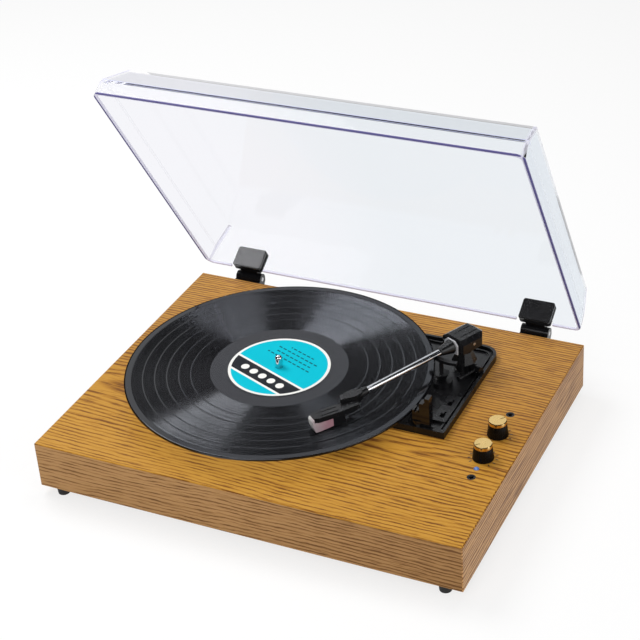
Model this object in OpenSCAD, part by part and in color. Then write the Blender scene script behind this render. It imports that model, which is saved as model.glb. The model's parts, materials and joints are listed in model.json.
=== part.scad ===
// Portable belt-driven record player with a hinged clear cover, open, and a record on its platter.
// Millimetres. Origin at the centre of the plinth's underside, +X right, -Y front, +Z up.

/* [Plinth] */
// Width of the plinth
plinth_w = 430; // [420:1:460]
// Depth of the plinth
plinth_d = 335; // [325:1:360]
// Height of the plinth without its feet
plinth_h = 49; // [46:1:60]
// Thickness of the four walls
wall_t = 15; // [13.5:0.5:18]
// Thickness of the top board
top_t = 12; // [9:0.5:14]
// Chamfer along the outside edges
edge_cut = 0.8; // [0.4:0.1:2]
// Thickness of the panel that closes the underside
base_t = 4; // [3:0.5:6]
// Side of the square glue block in each inner corner
cleat = 26; // [22:1:32]
// Height of a foot
foot_h = 8.5; // [5:0.5:14]
// Diameter of a foot at the plinth
foot_d = 13; // [10:0.5:13.5]

/* [Deck and platter] */
// Spindle axis, measured from the plinth's centre to the right
platter_x = -40; // [-48:1:-34]
// Spindle axis, measured from the plinth's centre to the back
platter_y = 4; // [-4:1:12]
// Radius of the round pan under the platter
pan_r = 108; // [104:1:112]
// Thickness of the deck plate's floor
deck_t = 3; // [2:0.5:4]
// Height of the deck plate's rim
rim_h = 7; // [5:0.5:9]
// Radius of the platter
platter_r = 98; // [90:1:102]
// Height of the platter's top above the plinth
platter_top = 15.2; // [15:0.1:18]
// Thickness of the slip mat
mat_t = 2; // [1:0.5:3]
// Room between the ring the belt runs on and the motor pulley
belt_span = 6; // [4:0.5:12]
// Radius of the motor pulley
pulley_r = 5; // [4:0.5:7]
// Radius of the spindle
spindle_r = 3.55; // [3.4:0.05:3.6]

/* [Record] */
// Radius of the record
record_r = 150.8; // [149:0.1:151]
// Thickness of the record at its rim and label
record_t = 1.8; // [1.4:0.1:2.4]
// Radius of the paper label
label_r = 50; // [49:0.5:51]
// Number of bands of music on one side
bands = 6; // [3:1:8]

/* [Tonearm] */
// Arm pivot, measured from the plinth's centre to the right
pivot_x = 120; // [116:0.5:124]
// Arm pivot, measured from the plinth's centre to the back
pivot_y = 86; // [82:0.5:90]
// Height of the arm's axis above the top of the record
arm_over_record = 16; // [15:0.5:17]
// Angle of the arm inwards from its rest
arm_angle = 25.7; // [22:0.1:30]
// Distance from the pivot to the stylus tip
arm_length = 184.5; // [180:0.5:190]
// Radius of the arm tube
tube_r = 3.1; // [2.8:0.1:3.5]
// Angle of the head inwards from the arm
head_angle = 12.4; // [8:0.1:20]

/* [Controls] */
// Distance of the row of controls from the right side
control_inset = 28; // [26:0.5:34]
// Largest radius of a knob
knob_r = 10; // [8.5:0.5:12]
// Height of a knob with its cap
knob_h = 16.6; // [14:0.2:20]
// Number of grooves round a knob
knob_grooves = 28; // [18:1:32]
// Radius of a jack's collar
jack_r = 4; // [3.5:0.25:4.5]

/* [Cover] */
// Width of the cover at its rim
lid_w = 421; // [400:1:424]
// Depth of the cover at its rim
lid_d = 325; // [315:1:330]
// Height of the cover
lid_h = 47.5; // [47:0.5:60]
// Thickness of the clear walls
lid_t = 3; // [2:0.25:3.5]
// Opening angle
lid_angle = 58; // [40:1:62]
// Distance of a hinge from the middle
hinge_x = 161.5; // [130:0.5:165]

/* [Output] */
// Piece to draw, or all of them

/* [Hidden] */
$fn = 64;

// Clearances: a turning fit, a slip fit of fixed pieces, a gap between pieces that move past each other
running = 0.05;
slip = 0.2;
gap = 0.4;
// Room round a shaft that passes through a plate
way = 1;
// How far a cutting shape reaches past the face it cuts
past = 1;

// Colours for the preview
wood_colour = [0.66, 0.45, 0.18];
black = [0.05, 0.05, 0.06];
grey = [0.55, 0.56, 0.58];
steel = [0.78, 0.78, 0.8];
brass = [0.8, 0.62, 0.28];
board_green = [0.1, 0.35, 0.2];

// Heights
top_z = plinth_h;
board_z = plinth_h - top_t;
floor_z = top_z + deck_t;
mat_z = top_z + platter_top;
record_z = mat_z + mat_t;
record_top = record_z + record_t;
arm_z = record_top + arm_over_record;

// Inside of the plinth
inner_w = plinth_w - 2 * wall_t;
inner_d = plinth_d - 2 * wall_t;
foot_x = plinth_w / 2 - 19.5;
foot_y = plinth_d / 2 - wall_t / 2 - 1;
cleat_x = inner_w / 2 - cleat / 2;
cleat_y = inner_d / 2 - cleat / 2;
screw_r = 1.5;
screw_head_r = 3.2;
screw_head_h = 1.8;
screw_length = 14;

// Deck plate round the tonearm
deck_lap = 8;
deck_left = platter_x + pan_r - deck_lap;
deck_right = pivot_x + 23.5;
deck_back = pivot_y + 38.5;
deck_front = pivot_y - 114;
deck_corner = 16;
deck_ledge = 8;
rim_t = 3;
ridge_in = rim_t + 3;
ridge_t = 1.5;
ridge_h = rim_h - 2;
threshold_d = 7;
threshold_h = rim_h - 1.5;
switch_x = pivot_x + 11;
switch_w = 14;
switch_back = deck_front + 59;
switch_front = deck_front + 18;
switch_top = rim_h - 1;
switch_throw = 2.5;
switch_body_h = 7;
switch_body_d = 20;
slider_rise = 3.4;
rest_r = 11;
rest_x = pivot_x - 5;
rest_y = deck_front + rest_r;
rest_foot_h = 4;
rest_ring_h = 9;
rest_ring_in = 2;
rest_face = deck_front + 3.5;
rest_post_d = 8;
slot_w = 4.6;
slider_w = slot_w - 2 * gap;
slot_length = slider_w + 2 * switch_throw + 2 * gap;
speed_y = switch_back - 10;
stop_y = switch_front + 11;

// Platter drive
platter_t = 4;
drive_t = 3;
motor_neck_r = pulley_r + 2;
motor_direction = 150;
motor_r = 16;
motor_h = 22;
motor_room = 3;
pulley_distance = pan_r - deck_ledge - motor_room - motor_r;
drive_r = pulley_distance - pulley_r - belt_span;
belt_t = 0.8;
belt_z = floor_z + 2.2;
belt_h = 4;
pulley_flange = 1;
pulley_bottom = floor_z + 1;
pulley_top = belt_z + belt_h + slip + pulley_flange;
shaft_bottom = top_z - motor_h + 3;
hub_r = 12;
bush_r = 6.5;
bush_depth = 20;
bush_floor = top_z - bush_depth + 2;
bush_flange_t = 1.6;
ring_bottom = floor_z + 1.8;
hub_bottom = floor_z + 2.4;
spindle_rise = 13;

// Tonearm bearing
tilt_rise = 1.5;
column_top = arm_z - 10;
column_r = 7.5;
column_foot_r = 10;
column_foot_h = 9;
flange_r = 12.4;
flange_neck_r = 8;
housing_half = 14.5;
housing_front = 14.5;
housing_back = 18.5;
housing_floor = -4.5;
housing_side = 5;
housing_roof = 8.5;
housing_corner = 8.5;
housing_bevel = 5;
housing_brow = 1.5;
housing_wall = 3;
roof_groove_x = 4.5;
roof_groove_y = 2;
roof_groove_w = 1;
roof_groove_l = 20;
roof_groove_d = 0.6;
roof_notch = 6;
cavity_half = 7.5;
cavity_floor = housing_floor + 2.3;
cavity_roof = housing_roof - 2;
shaft_end = cavity_floor - 0.8;
shaft_drop = 8;
plate_place = 17.4;
plate_t = 1.4;
plate_w = 18;
plate_h = 13.6;
plate_floor = -6;
plate_corner = 4;
neck_r = 4.4;
cone_r = 7.2;
cone_end = 32;
tube_seat = 8;
tilt_block_half = cavity_half - way;
tilt_block_front = plate_place - 2;
tilt_block_back = 3;
tilt_block_floor = -1.5;
tilt_block_h = 6;
weight = [11, 10, 5];
tube_t = 0.7;
pin_r = 1.5;
pin_start = 4.5;
pin_end = housing_half + slip;
shaft_r = 3;
lift_r = 35.5;
lift_angle = 17;
lift_rod_r = 2;
sleeve_foot_r = 10.5;
sleeve_foot_h = 5;
sleeve_h = 8;
sleeve_neck_r = 4;
sleeve_mouth_r = 7.5;
lever_z = floor_z + 6;
lever_x = 15.5;
lever_y = -7;
lever_turn = 25;
lever_hub_r = 3;
lever_hub_w = 6;
lever_ear_r = 3.6;
lever_ear_t = 2;
lever_length = 25;
lever_grip = 4.5;
lever_lap = 0.5;
tube_end = arm_length - 53.5;
collar_start = tube_end - 7;
collar_r = tube_r + 1.1;

// Controls
control_x = plinth_w / 2 - control_inset;
line_in_y = 30;
source_y = -4;
volume_y = -42;
led_y = -59.5;
headphone_y = -72.5;
pot_r = 8;
pot_h = 10;
pot_floor = board_z - pot_h + 2;
pot_bush_r = 3.5;
pot_shaft_r = 3;
led_r = 2.5;
plug_r = 1.8;
cap_h = 3.6;
cap_edge = 0.6;
skirt_h = knob_h - cap_h - gap;
knob_taper = 1.4;
cap_r = knob_r - 1.5;
flute_r = 0.55;
pointer_w = 0.8;
source_pointer = 51;
volume_pointer = 223;

// Rear sockets and loudspeakers
socket_x = 70;
socket_w = 78;
socket_h = 24;
socket_z = 22;
socket_t = 2;
socket_lap = 4;
rca_x = [12, 27];
rca_r = 4.15;
rca_length = 9;
rca_bore_r = 1.6;
rca_neck_r = rca_r + 0.8;
rca_flange = 4;
dc_x = -24;
dc_r = 5.5;
dc_bore_r = 2.75;
dc_depth = 10;
speaker_r = 33;
speaker_h = 27;
basket_h = 16;
basket_t = 1.2;
mouth_r = speaker_r - 5;
magnet_r = 15;
coil_r = 4;
dome_r = 8;
dome_h = 8.2;
paper_t = 0.8;
speaker_from_side = 49;
speaker_from_front = 21.5;
speaker_x = inner_w / 2 - speaker_r - speaker_from_side;
speaker_y = speaker_r + speaker_from_front - inner_d / 2;
grille_r = 24;
grille_pitch = 7;
grille_slot = 3;

// Cover and hinges
lid_rim_z = top_z + 1.5;
lid_back = plinth_d / 2 - 3.5;
lid_front = lid_back - lid_d;
lid_corner = 9;
crease_h = 18.5;
front_crease = 4.5;
front_top = 29.5;
side_crease = 2;
side_top = 8;
hinge_y = plinth_d / 2 + 9.5;
hinge_z = top_z - 1;
hinge_w = 29;
flap_w = 33;
flap_corner = 2.5;
flap_border = 0.8;
hinge_pin_r = 2.2;
knuckle_r = 6;
ear_t = 4;
bracket_t = 3;
bracket_drop = 40;
web_h = 22;
web_lip = 4;
leaf_h = 12;
hinge_screw_heights = [hinge_z - 30, hinge_z - 16];
leaf_w = hinge_w - 2 * ear_t - 2 * gap;
notch_w = 38;
notch_h = 6.5;
clip_h = 23;
clip_t = 3.2;

// Placing helpers
module at_platter() translate([platter_x, platter_y, 0]) children();
module at_motor()
  at_platter() rotate(motor_direction) translate([pulley_distance, 0, 0]) children();
module at_arm() translate([pivot_x, pivot_y, 0]) rotate(-arm_angle) children();
module at_head() at_arm() translate([-1.5, -arm_length, 0]) rotate(-head_angle) children();
module at_lift()
  translate([pivot_x, pivot_y, 0]) rotate(-lift_angle) translate([0, -lift_r, 0]) children();
module at_lever()
  translate([pivot_x + lever_x, pivot_y + lever_y, lever_z]) rotate(-lever_turn) children();
module both_sides() for (side = [-1, 1]) translate([side * hinge_x, 0, 0]) children();
module opened()
  translate([0, hinge_y, hinge_z]) rotate([-lid_angle, 0, 0]) translate([0, -hinge_y, -hinge_z]) children();

// Round bar along the arm from one distance to a larger one, radii r1 near the pivot and r2 far from it
module along_arm(from, to, r1, r2)
  translate([0, -from, 0]) rotate([90, 0, 0]) cylinder(h = to - from, r1 = r1, r2 = r2);

// Rod along X, centred
module cross_rod(r, length) rotate([0, 90, 0]) cylinder(h = length, r = r, center = true);

// Box centred in X and Y that stands on z
module block(w, d, h) translate([-w / 2, -d / 2, 0]) cube([w, d, h]);

// Rectangle with cut corners
module cut_rect(w, h, c)
  polygon([[c - w / 2, -h / 2], [w / 2 - c, -h / 2], [w / 2, c - h / 2], [w / 2, h / 2 - c],
    [w / 2 - c, h / 2], [c - w / 2, h / 2], [-w / 2, h / 2 - c], [-w / 2, c - h / 2]]);

// Box with every outside edge chamfered
module soft_box(w, d, h, c) intersection() {
  linear_extrude(h) cut_rect(w, d, c);
  translate([0, d / 2, h / 2]) rotate([90, 0, 0]) linear_extrude(d) cut_rect(w, h, c);
  translate([-w / 2, 0, h / 2]) rotate([90, 0, 90]) linear_extrude(w) cut_rect(d, h, c);
}

// Rectangle with round corners
module round_rect(w, d, r) {
  square([w - 2 * r, d], center = true);
  square([w, d - 2 * r], center = true);
  for (x = [-1, 1], y = [-1, 1])
    translate([x * (w / 2 - r), y * (d / 2 - r)]) circle(r);
}

// Plinth

module plinth_case() color(wood_colour) difference() {
  soft_box(plinth_w, plinth_d, plinth_h, edge_cut);
  plinth_hollow();
  translate([0, 0, board_z - past]) linear_extrude(top_t + 2 * past) deck_opening();
  for (y = [source_y, volume_y])
    control_hole(y, pot_bush_r + slip);
  for (y = [line_in_y, headphone_y])
    control_hole(y, jack_r + slip);
  control_hole(led_y, led_r + slip);
  socket_opening();
  hinge_screw_places() cylinder(h = screw_length + past, r = screw_r + running);
}

module plinth_hollow() difference() {
  translate([0, 0, -past]) block(inner_w, inner_d, board_z + past);
  for (x = [-1, 1], y = [-1, 1])
    translate([x * cleat_x, y * cleat_y, base_t]) difference() {
      block(cleat, cleat, board_z - base_t);
      translate([0, 0, -past]) cylinder(h = screw_length, r = screw_r + running);
    }
}

module deck_opening() {
  translate([platter_x, platter_y]) circle(pan_r - deck_ledge);
  arm_area(deck_ledge);
}

module control_hole(y, r)
  translate([control_x, y, board_z - past]) cylinder(h = top_t + 2 * past, r = r);

module socket_opening() {
  translate([socket_x, plinth_d / 2 - socket_t, socket_z]) rotate([-90, 0, 0])
    linear_extrude(socket_t + past) square([socket_w + 2 * slip, socket_h + 2 * slip], center = true);
  translate([socket_x, plinth_d / 2 - wall_t - past, socket_z]) rotate([-90, 0, 0])
    linear_extrude(wall_t) square([socket_w - 2 * socket_lap, socket_h - 1.5 * socket_lap], center = true);
}

module base_panel() color(black) difference() {
  union() {
    block(inner_w - 2 * slip, inner_d - 2 * slip, base_t);
    board_places() cylinder(h = board_post_h, r = board_post_r);
  }
  base_screw_places() {
    translate([0, 0, -past]) cylinder(h = screw_head_h + slip + past, r = screw_head_r + slip);
    cylinder(h = base_t + past, r = screw_r + running);
  }
  for (side = [-1, 1], row = [-3:3])
    translate([side * speaker_x, speaker_y + row * grille_pitch, -past]) linear_extrude(base_t + 2 * past)
      round_rect(2 * sqrt(pow(grille_r, 2) - pow(row * grille_pitch, 2)), grille_slot, 0.45 * grille_slot);
}

module base_screw_places()
  for (x = [-1, 1], y = [-1, 1])
    translate([x * cleat_x, y * cleat_y, 0]) children();

module feet() color(black) for (x = [-1, 1], y = [-1, 1])
  translate([x * foot_x, y * foot_y, -foot_h]) cylinder(h = foot_h, r1 = foot_d / 2 - 0.8, r2 = foot_d / 2);

module base_screws() color(steel) base_screw_places() {
  translate([0, 0, slip]) cylinder(h = screw_head_h, r = screw_head_r);
  translate([0, 0, slip]) cylinder(h = screw_length - 2 * slip, r = screw_r);
}

// Deck plate with the fixed parts of the tonearm

module arm_area(inset) {
  r = deck_corner - inset;
  x = deck_left + inset;
  y = deck_front + inset;
  w = deck_right - inset - x;
  d = deck_back - inset - y;
  translate([x, y]) square([w, d - r]);
  translate([x, y]) square([w - r, d]);
  translate([x + w - r, y + d - r]) circle(r);
}

module deck_outline(inset) {
  translate([platter_x, platter_y]) circle(pan_r - inset);
  arm_area(inset);
}

module deck_plate() color(black) translate([0, 0, top_z]) difference() {
  union() {
    linear_extrude(deck_t) deck_outline(0);
    linear_extrude(rim_h) difference() {
      deck_outline(0);
      deck_outline(rim_t);
    }
    linear_extrude(ridge_h) difference() {
      arm_area(ridge_in);
      arm_area(ridge_in + ridge_t);
      translate([platter_x, platter_y]) circle(pan_r + ridge_in);
    }
    translate([switch_x - switch_w / 2, switch_front, 0])
      cube([switch_w, switch_back - switch_front, switch_top]);
    translate([switch_x - 2, deck_front, 0]) cube([deck_right - switch_x + 2, threshold_d, threshold_h]);
    translate([0, 0, -top_z]) lever_ears();
  }
  translate([rest_x, rest_y, deck_t]) cylinder(h = rim_h, r = rest_r + slip);
  translate([platter_x, platter_y, -past]) cylinder(h = rim_h, r = bush_r + slip);
  translate([0, 0, -past]) {
    at_motor() cylinder(h = rim_h, r = motor_neck_r);
    at_lift() cylinder(h = rim_h, r = lift_rod_r + way);
    translate([pivot_x, pivot_y, 0]) cylinder(h = rim_h, r = shaft_r + way);
  }
  for (y = [speed_y, stop_y])
    translate([switch_x, y, -past]) block(slot_w, slot_length, rim_h + past);
}

module lever_ears() at_lever() for (side = [-1, 1]) difference() {
  translate([side * (lever_hub_w / 2 + gap + lever_ear_t / 2), 0, 0]) {
    cross_rod(lever_ear_r, lever_ear_t);
    translate([0, 0, floor_z - lever_z]) block(lever_ear_t, 2 * lever_ear_r, lever_z - floor_z);
  }
  cross_rod(pin_r + running, 4 * lever_hub_w);
}

// Arm rest: two round steps, a post, and a slot open upwards for the tube
module arm_rest() color(black) difference() {
  union() {
    translate([rest_x, rest_y, floor_z]) {
      cylinder(h = rest_foot_h, r = rest_r);
      cylinder(h = rest_ring_h, r = rest_r - rest_ring_in);
    }
    translate([pivot_x, rest_face, 0]) rotate([90, 0, 0]) translate([0, 0, -rest_post_d]) rest_post();
  }
  translate([pivot_x, 0, arm_z]) rotate([90, 0, 0]) linear_extrude(plinth_d, center = true) {
    circle(tube_r + gap);
    translate([-tube_r - gap, 0]) square([2 * (tube_r + gap), arm_over_record]);
  }
}

// Post of the arm rest seen from the front: low step with two stubs, saddle and tall outer prong
module rest_post() linear_extrude(rest_post_d) {
  foot = floor_z + rest_foot_h;
  saddle = arm_z - tube_r - gap;
  prong = arm_z + tube_r;
  step = arm_z - 13.5;
  stub = 2;
  left = -9;
  saddle_left = -2;
  right = 8;
  polygon([[left, foot], [right, foot], [right, prong], [0, prong], [0, saddle], [saddle_left, saddle],
    [saddle_left, step], [left, step]]);
  for (x = [left, left + 2 * stub])
    translate([x, step - past]) square([stub, stub + past]);
}

module arm_column() color(black) translate([pivot_x, pivot_y, 0]) difference() {
  union() {
    translate([0, 0, floor_z]) cylinder(h = column_top - floor_z, r = column_r);
    translate([0, 0, floor_z]) cylinder(h = column_foot_h, r = column_foot_r);
    translate([0, 0, floor_z + column_foot_h]) rotate(180 / 8)
      cylinder(h = column_top - floor_z - column_foot_h - 2, r1 = flange_r, r2 = flange_neck_r, $fn = 8);
  }
  translate([0, 0, floor_z - past]) cylinder(h = arm_z, r = shaft_r + running);
}

module lift_sleeve() color(black) at_lift() translate([0, 0, floor_z]) difference() {
  union() {
    cylinder(h = sleeve_foot_h, r = sleeve_foot_r);
    translate([0, 0, sleeve_foot_h]) cylinder(h = sleeve_h, r1 = sleeve_neck_r, r2 = sleeve_mouth_r);
  }
  translate([0, 0, -past]) cylinder(h = sleeve_foot_h + sleeve_h + 2 * past, r = lift_rod_r + running);
}

// Platter drive

module bearing_bush() color(brass) at_platter() difference() {
  union() {
    translate([0, 0, top_z - bush_depth]) cylinder(h = bush_depth + deck_t + 2, r = bush_r);
    translate([0, 0, floor_z]) cylinder(h = bush_flange_t, r = bush_r + 4);
  }
  translate([0, 0, bush_floor]) cylinder(h = bush_depth + rim_h, r = spindle_r + running);
}

module motor_can() color(grey) at_motor() difference() {
  union() {
    translate([0, 0, top_z - motor_h]) cylinder(h = motor_h, r = motor_r);
    translate([0, 0, top_z]) cylinder(h = deck_t, r = motor_neck_r - slip);
  }
  translate([0, 0, shaft_bottom]) cylinder(h = motor_h + rim_h, r = pin_r + running);
}

module motor_shaft() color(steel) at_motor()
  translate([0, 0, shaft_bottom + slip]) cylinder(h = pulley_top - shaft_bottom - slip, r = pin_r);

module motor_pulley() color(brass) at_motor() difference() {
  union() {
    translate([0, 0, pulley_bottom]) cylinder(h = pulley_top - pulley_bottom, r = pulley_r);
    for (z = [pulley_bottom, pulley_top - pulley_flange])
      translate([0, 0, z]) cylinder(h = pulley_flange, r = pulley_r + 1.4);
  }
  translate([0, 0, floor_z]) cylinder(h = belt_h + 2 * rim_h, r = pin_r);
}

// Points of a loop round the drive ring and the pulley, a given distance outside both
function loop_points(out) =
  let (big = drive_r + out, small = pulley_r + out, turn = acos((big - small) / pulley_distance))
  concat(
    [for (i = [0:48]) let (a = turn + (360 - 2 * turn) * i / 48) [big * cos(a), big * sin(a)]],
    [for (i = [0:12]) let (a = turn * (i / 6 - 1)) [pulley_distance + small * cos(a), small * sin(a)]]);

module drive_belt() color(black) at_platter() rotate(motor_direction) translate([0, 0, belt_z])
  linear_extrude(belt_h) difference() {
    polygon(loop_points(gap + belt_t));
    polygon(loop_points(gap));
  }

module platter() color(grey) at_platter() difference() {
  union() {
    translate([0, 0, mat_z - platter_t]) cylinder(h = platter_t, r = platter_r);
    translate([0, 0, ring_bottom]) difference() {
      cylinder(h = mat_z - slip - ring_bottom, r = drive_r);
      translate([0, 0, -past]) cylinder(h = platter_top, r = drive_r - drive_t);
    }
    translate([0, 0, hub_bottom]) cylinder(h = mat_z - slip - hub_bottom, r = hub_r);
  }
  translate([0, 0, top_z]) cylinder(h = platter_top + past, r = spindle_r);
}

module spindle() color(steel) at_platter() {
  shoulder = record_top + spindle_rise - spindle_r;
  translate([0, 0, bush_floor + slip]) cylinder(h = shoulder - bush_floor - slip, r = spindle_r);
  translate([0, 0, shoulder]) intersection() {
    sphere(spindle_r);
    cylinder(h = spindle_r, r = spindle_r);
  }
}

module slip_mat() color(black) at_platter() translate([0, 0, mat_z]) difference() {
  cylinder(h = mat_t, r = platter_r - 2);
  translate([0, 0, -past]) cylinder(h = mat_t + 2 * past, r = spindle_r + slip);
}

// Record

label_t = 0.15;
label_rim = 2;
groove_start = label_r + 17.4;
groove_end = record_r - 6.3;
band_w = (groove_end - groove_start) / (bands + 0.6);
band_gap = 0.9;
groove_drop = 0.22;
gap_drop = 0.34;

module record() color(black) at_platter() translate([0, 0, record_z]) rotate_extrude() record_section();

module record_section() difference() {
  translate([spindle_r + slip, 0]) square([record_r - spindle_r - slip, record_t]);
  for (face = [0, 1])
    mirror([0, face]) translate([0, -face * record_t]) {
      translate([label_r + label_rim, record_t - groove_drop])
        square([groove_end - label_r - label_rim, groove_drop + past]);
      translate([0, record_t - label_t]) square([label_r, label_t + past]);
    }
  for (i = [1:bands - 1])
    translate([groove_end - i * band_w - band_gap / 2, record_t - gap_drop])
      square([band_gap, gap_drop + past]);
}

module record_labels() color([0.1, 0.72, 0.82]) at_platter()
  for (z = [record_z, record_top - label_t])
    translate([0, 0, z]) difference() {
      cylinder(h = label_t, r = label_r);
      translate([0, 0, -past]) cylinder(h = label_t + 2 * past, r = spindle_r + slip);
    }

// Tonearm: the part that swings

module arm_housing() color(black) at_arm() translate([0, 0, arm_z]) difference() {
  union() {
    housing_block();
    translate([0, 0, column_top + gap - arm_z]) cylinder(h = arm_z + housing_floor - column_top, r = 8);
  }
  translate([-cavity_half, -housing_front - past, cavity_floor])
    cube([2 * cavity_half, housing_front + housing_back - housing_wall + past, cavity_roof - cavity_floor]);
  translate([0, 0, tilt_rise]) cross_rod(pin_r, 2 * pin_end + past);
  translate([0, 0, column_top - arm_z]) cylinder(h = shaft_end + arm_z - column_top, r = shaft_r);
  for (side = [-1, 1])
    translate([side * roof_groove_x, roof_groove_y, housing_roof - roof_groove_d])
      block(roof_groove_w, roof_groove_l, past);
  translate([0, housing_back, housing_roof - 2 * roof_groove_d])
    block(roof_notch, 2 * roof_notch, roof_notch);
}

// Outside of the housing: a plan with cut rear corners, sloping flanks and a sloping back
module housing_block() intersection() {
  shoulder = housing_half - housing_corner;
  ridge = housing_half - housing_bevel;
  translate([0, 0, housing_floor]) linear_extrude(housing_roof - housing_floor)
    polygon([[-housing_half, -housing_front], [housing_half, -housing_front],
      [housing_half, housing_back - housing_corner], [shoulder, housing_back], [-shoulder, housing_back],
      [-housing_half, housing_back - housing_corner]]);
  translate([0, housing_back, 0]) rotate([90, 0, 0]) linear_extrude(housing_front + housing_back)
    polygon([[-housing_half, housing_floor], [housing_half, housing_floor], [housing_half, housing_side],
      [ridge, housing_roof], [-ridge, housing_roof], [-housing_half, housing_side]]);
  translate([-housing_half, 0, 0]) rotate([90, 0, 90]) linear_extrude(2 * housing_half)
    polygon([[-housing_front, housing_floor], [housing_back, housing_floor], [housing_back, housing_side],
      [housing_back - housing_bevel, housing_roof], [housing_brow - housing_front, housing_roof],
      [-housing_front, housing_side]]);
}

module swing_shaft() color(steel) translate([pivot_x, pivot_y, top_z - shaft_drop])
  cylinder(h = arm_z + shaft_end - top_z + shaft_drop, r = shaft_r);

module tilt_pins() color(steel) at_arm() translate([0, 0, arm_z + tilt_rise])
  for (side = [-1, 1])
    translate([side * (pin_start + pin_end) / 2, 0, 0]) cross_rod(pin_r, pin_end - pin_start);

// Tonearm: the part that tilts

module arm_socket() color(black) at_arm() translate([0, 0, arm_z]) difference() {
  union() {
    along_arm(plate_place, cone_end, cone_r, tube_r + 0.8);
    along_arm(tilt_block_front - slip, plate_place, neck_r, neck_r);
    translate([-tilt_block_half, -tilt_block_front, tilt_block_floor])
      cube([2 * tilt_block_half, tilt_block_front + tilt_block_back, tilt_block_h]);
  }
  translate([0, 0, tilt_rise]) cross_rod(pin_r + running, 4 * tilt_block_half);
  along_arm(cone_end - tube_seat, cone_end + past, tube_r, tube_r);
}

module arm_face_plate() color(grey) at_arm() translate([0, plate_t - plate_place, arm_z]) rotate([90, 0, 0])
  linear_extrude(plate_t) difference() {
    translate([-plate_w / 2, plate_floor]) square([plate_w, plate_h]);
    circle(neck_r);
    for (side = [-1, 1])
      translate([side * plate_w / 2, plate_floor + plate_h]) rotate(45)
        square(plate_corner * sqrt(2), center = true);
  }

module counterweight() color(steel) at_arm() translate([-weight[0] / 2, tilt_block_back, arm_z]) cube(weight);

module arm_tube() color(steel) at_arm() translate([0, 0, arm_z]) difference() {
  along_arm(cone_end - tube_seat, tube_end, tube_r, tube_r);
  along_arm(cone_end - tube_seat - past, tube_end + past, tube_r - tube_t, tube_r - tube_t);
}

// Head

carrier_t = 5;
head_groove_x = 2.8;
head_groove_y = 13;
holder_top = arm_z - carrier_t;
holder_half = 4.8;
holder_floor = record_top + 0.8;
tip_gap = 0.3;

module headshell() color(black) difference() {
  union() {
    at_arm() translate([0, 0, arm_z]) {
      along_arm(collar_start, tube_end + 4, collar_r, collar_r);
      translate([0, 0, -4.5]) linear_extrude(8.5)
        polygon([[-3.5, -tube_end], [3.5, -tube_end], [5, -tube_end - 9], [-0.5, -tube_end - 24],
          [-6.5, -tube_end - 20], [-6.5, -tube_end - 5]]);
    }
    at_head() translate([0, 0, holder_top]) linear_extrude(carrier_t)
      polygon([[-3.5, -2.5], [3.5, -2.5], [5.5, 1.5], [6.2, 22], [4.4, 44],
        [-4.4, 44], [-6.2, 22], [-5.5, 1.5]]);
  }
  at_arm() translate([0, 0, arm_z]) along_arm(collar_start - past, tube_end, tube_r, tube_r);
  for (side = [-1, 1])
    at_head() translate([side * head_groove_x, head_groove_y, arm_z - roof_groove_d])
      block(roof_groove_w, roof_groove_l, past);
}

module cartridge() color(black) at_head() {
  translate([-4.6, 16.4, holder_top - 10]) cube([9.2, 12, 10]);
  translate([-3.4, 28, holder_top - 2.5]) cube([6.8, 12, 2.5]);
}

// Clear stylus holder seen from its side: flat top, curved-up nose in front of the head
module stylus_holder() color([0.85, 0.55, 0.58]) at_head()
  translate([-holder_half, 0, 0]) rotate([90, 0, 90]) linear_extrude(2 * holder_half)
    polygon([[16.2, holder_top], [-2.7, holder_top], [-2.7, holder_top + 3.6], [-3.6, holder_top + 3.6],
      [-4.6, holder_top + 1.5], [-4.2, holder_top - 4], [-2, holder_floor], [4, holder_floor],
      [16.2, holder_floor + 1.2]]);

module stylus() color(steel) at_head() translate([0, 0, record_top + tip_gap])
  cylinder(h = holder_floor - record_top - tip_gap, r1 = 0.12, r2 = 0.45);

module contact_clip() color(steel) at_head() for (side = [-1, 1])
  translate([side * 2.6 - 0.6, 28.4, holder_top - 7]) cube([1.2, 4.6, 0.8]);

// Cueing lift and switches

module lift_platform() color(black) {
  bar_top = arm_z - tube_r - 0.5;
  bar_h = 3;
  at_lift() translate([0, 0, top_z - 3]) cylinder(h = bar_top - bar_h / 2 - top_z + 3, r = lift_rod_r);
  translate([pivot_x, pivot_y, bar_top - bar_h]) rotate(-lift_angle - 117) rotate_extrude(angle = 54)
    translate([lift_r - 2.2, 0]) square([4.4, bar_h]);
}

module cue_lever() color(black) at_lever() {
  cross_rod(pin_r, lever_hub_w + 2 * gap + 2 * lever_ear_t);
  cross_rod(lever_hub_r, lever_hub_w);
  along_arm(0, lever_length - lever_grip + lever_lap, 1.6, 1.6);
  along_arm(lever_length - lever_grip, lever_length, 2.3, 2.3);
}

module switch_body(y) translate([switch_x, y, top_z - switch_body_h]) difference() {
  block(switch_w - 6, switch_body_d, switch_body_h);
  translate([0, 0, 3]) block(slot_w, slot_length, switch_body_h);
}

module slider(y) translate([switch_x, y, top_z - 3]) {
  block(slider_w, slider_w, switch_top + slider_rise);
  translate([0, 0, switch_top + slider_rise]) block(slider_w - 0.8, slider_w, 2.2);
}

module speed_switch() color(grey) switch_body(speed_y);

module stop_switch() color(grey) switch_body(stop_y);

module speed_slider() color(black) slider(speed_y);

module stop_slider() color(black) slider(stop_y);

// Control panel

module at_control(y) translate([control_x, y, 0]) children();

module pot_body(y) at_control(y) difference() {
  union() {
    translate([0, 0, board_z - pot_h]) cylinder(h = pot_h, r = pot_r);
    translate([0, 0, board_z]) cylinder(h = top_t, r = pot_bush_r);
  }
  translate([0, 0, pot_floor]) cylinder(h = top_t + pot_h, r = pot_shaft_r + running);
}

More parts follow.
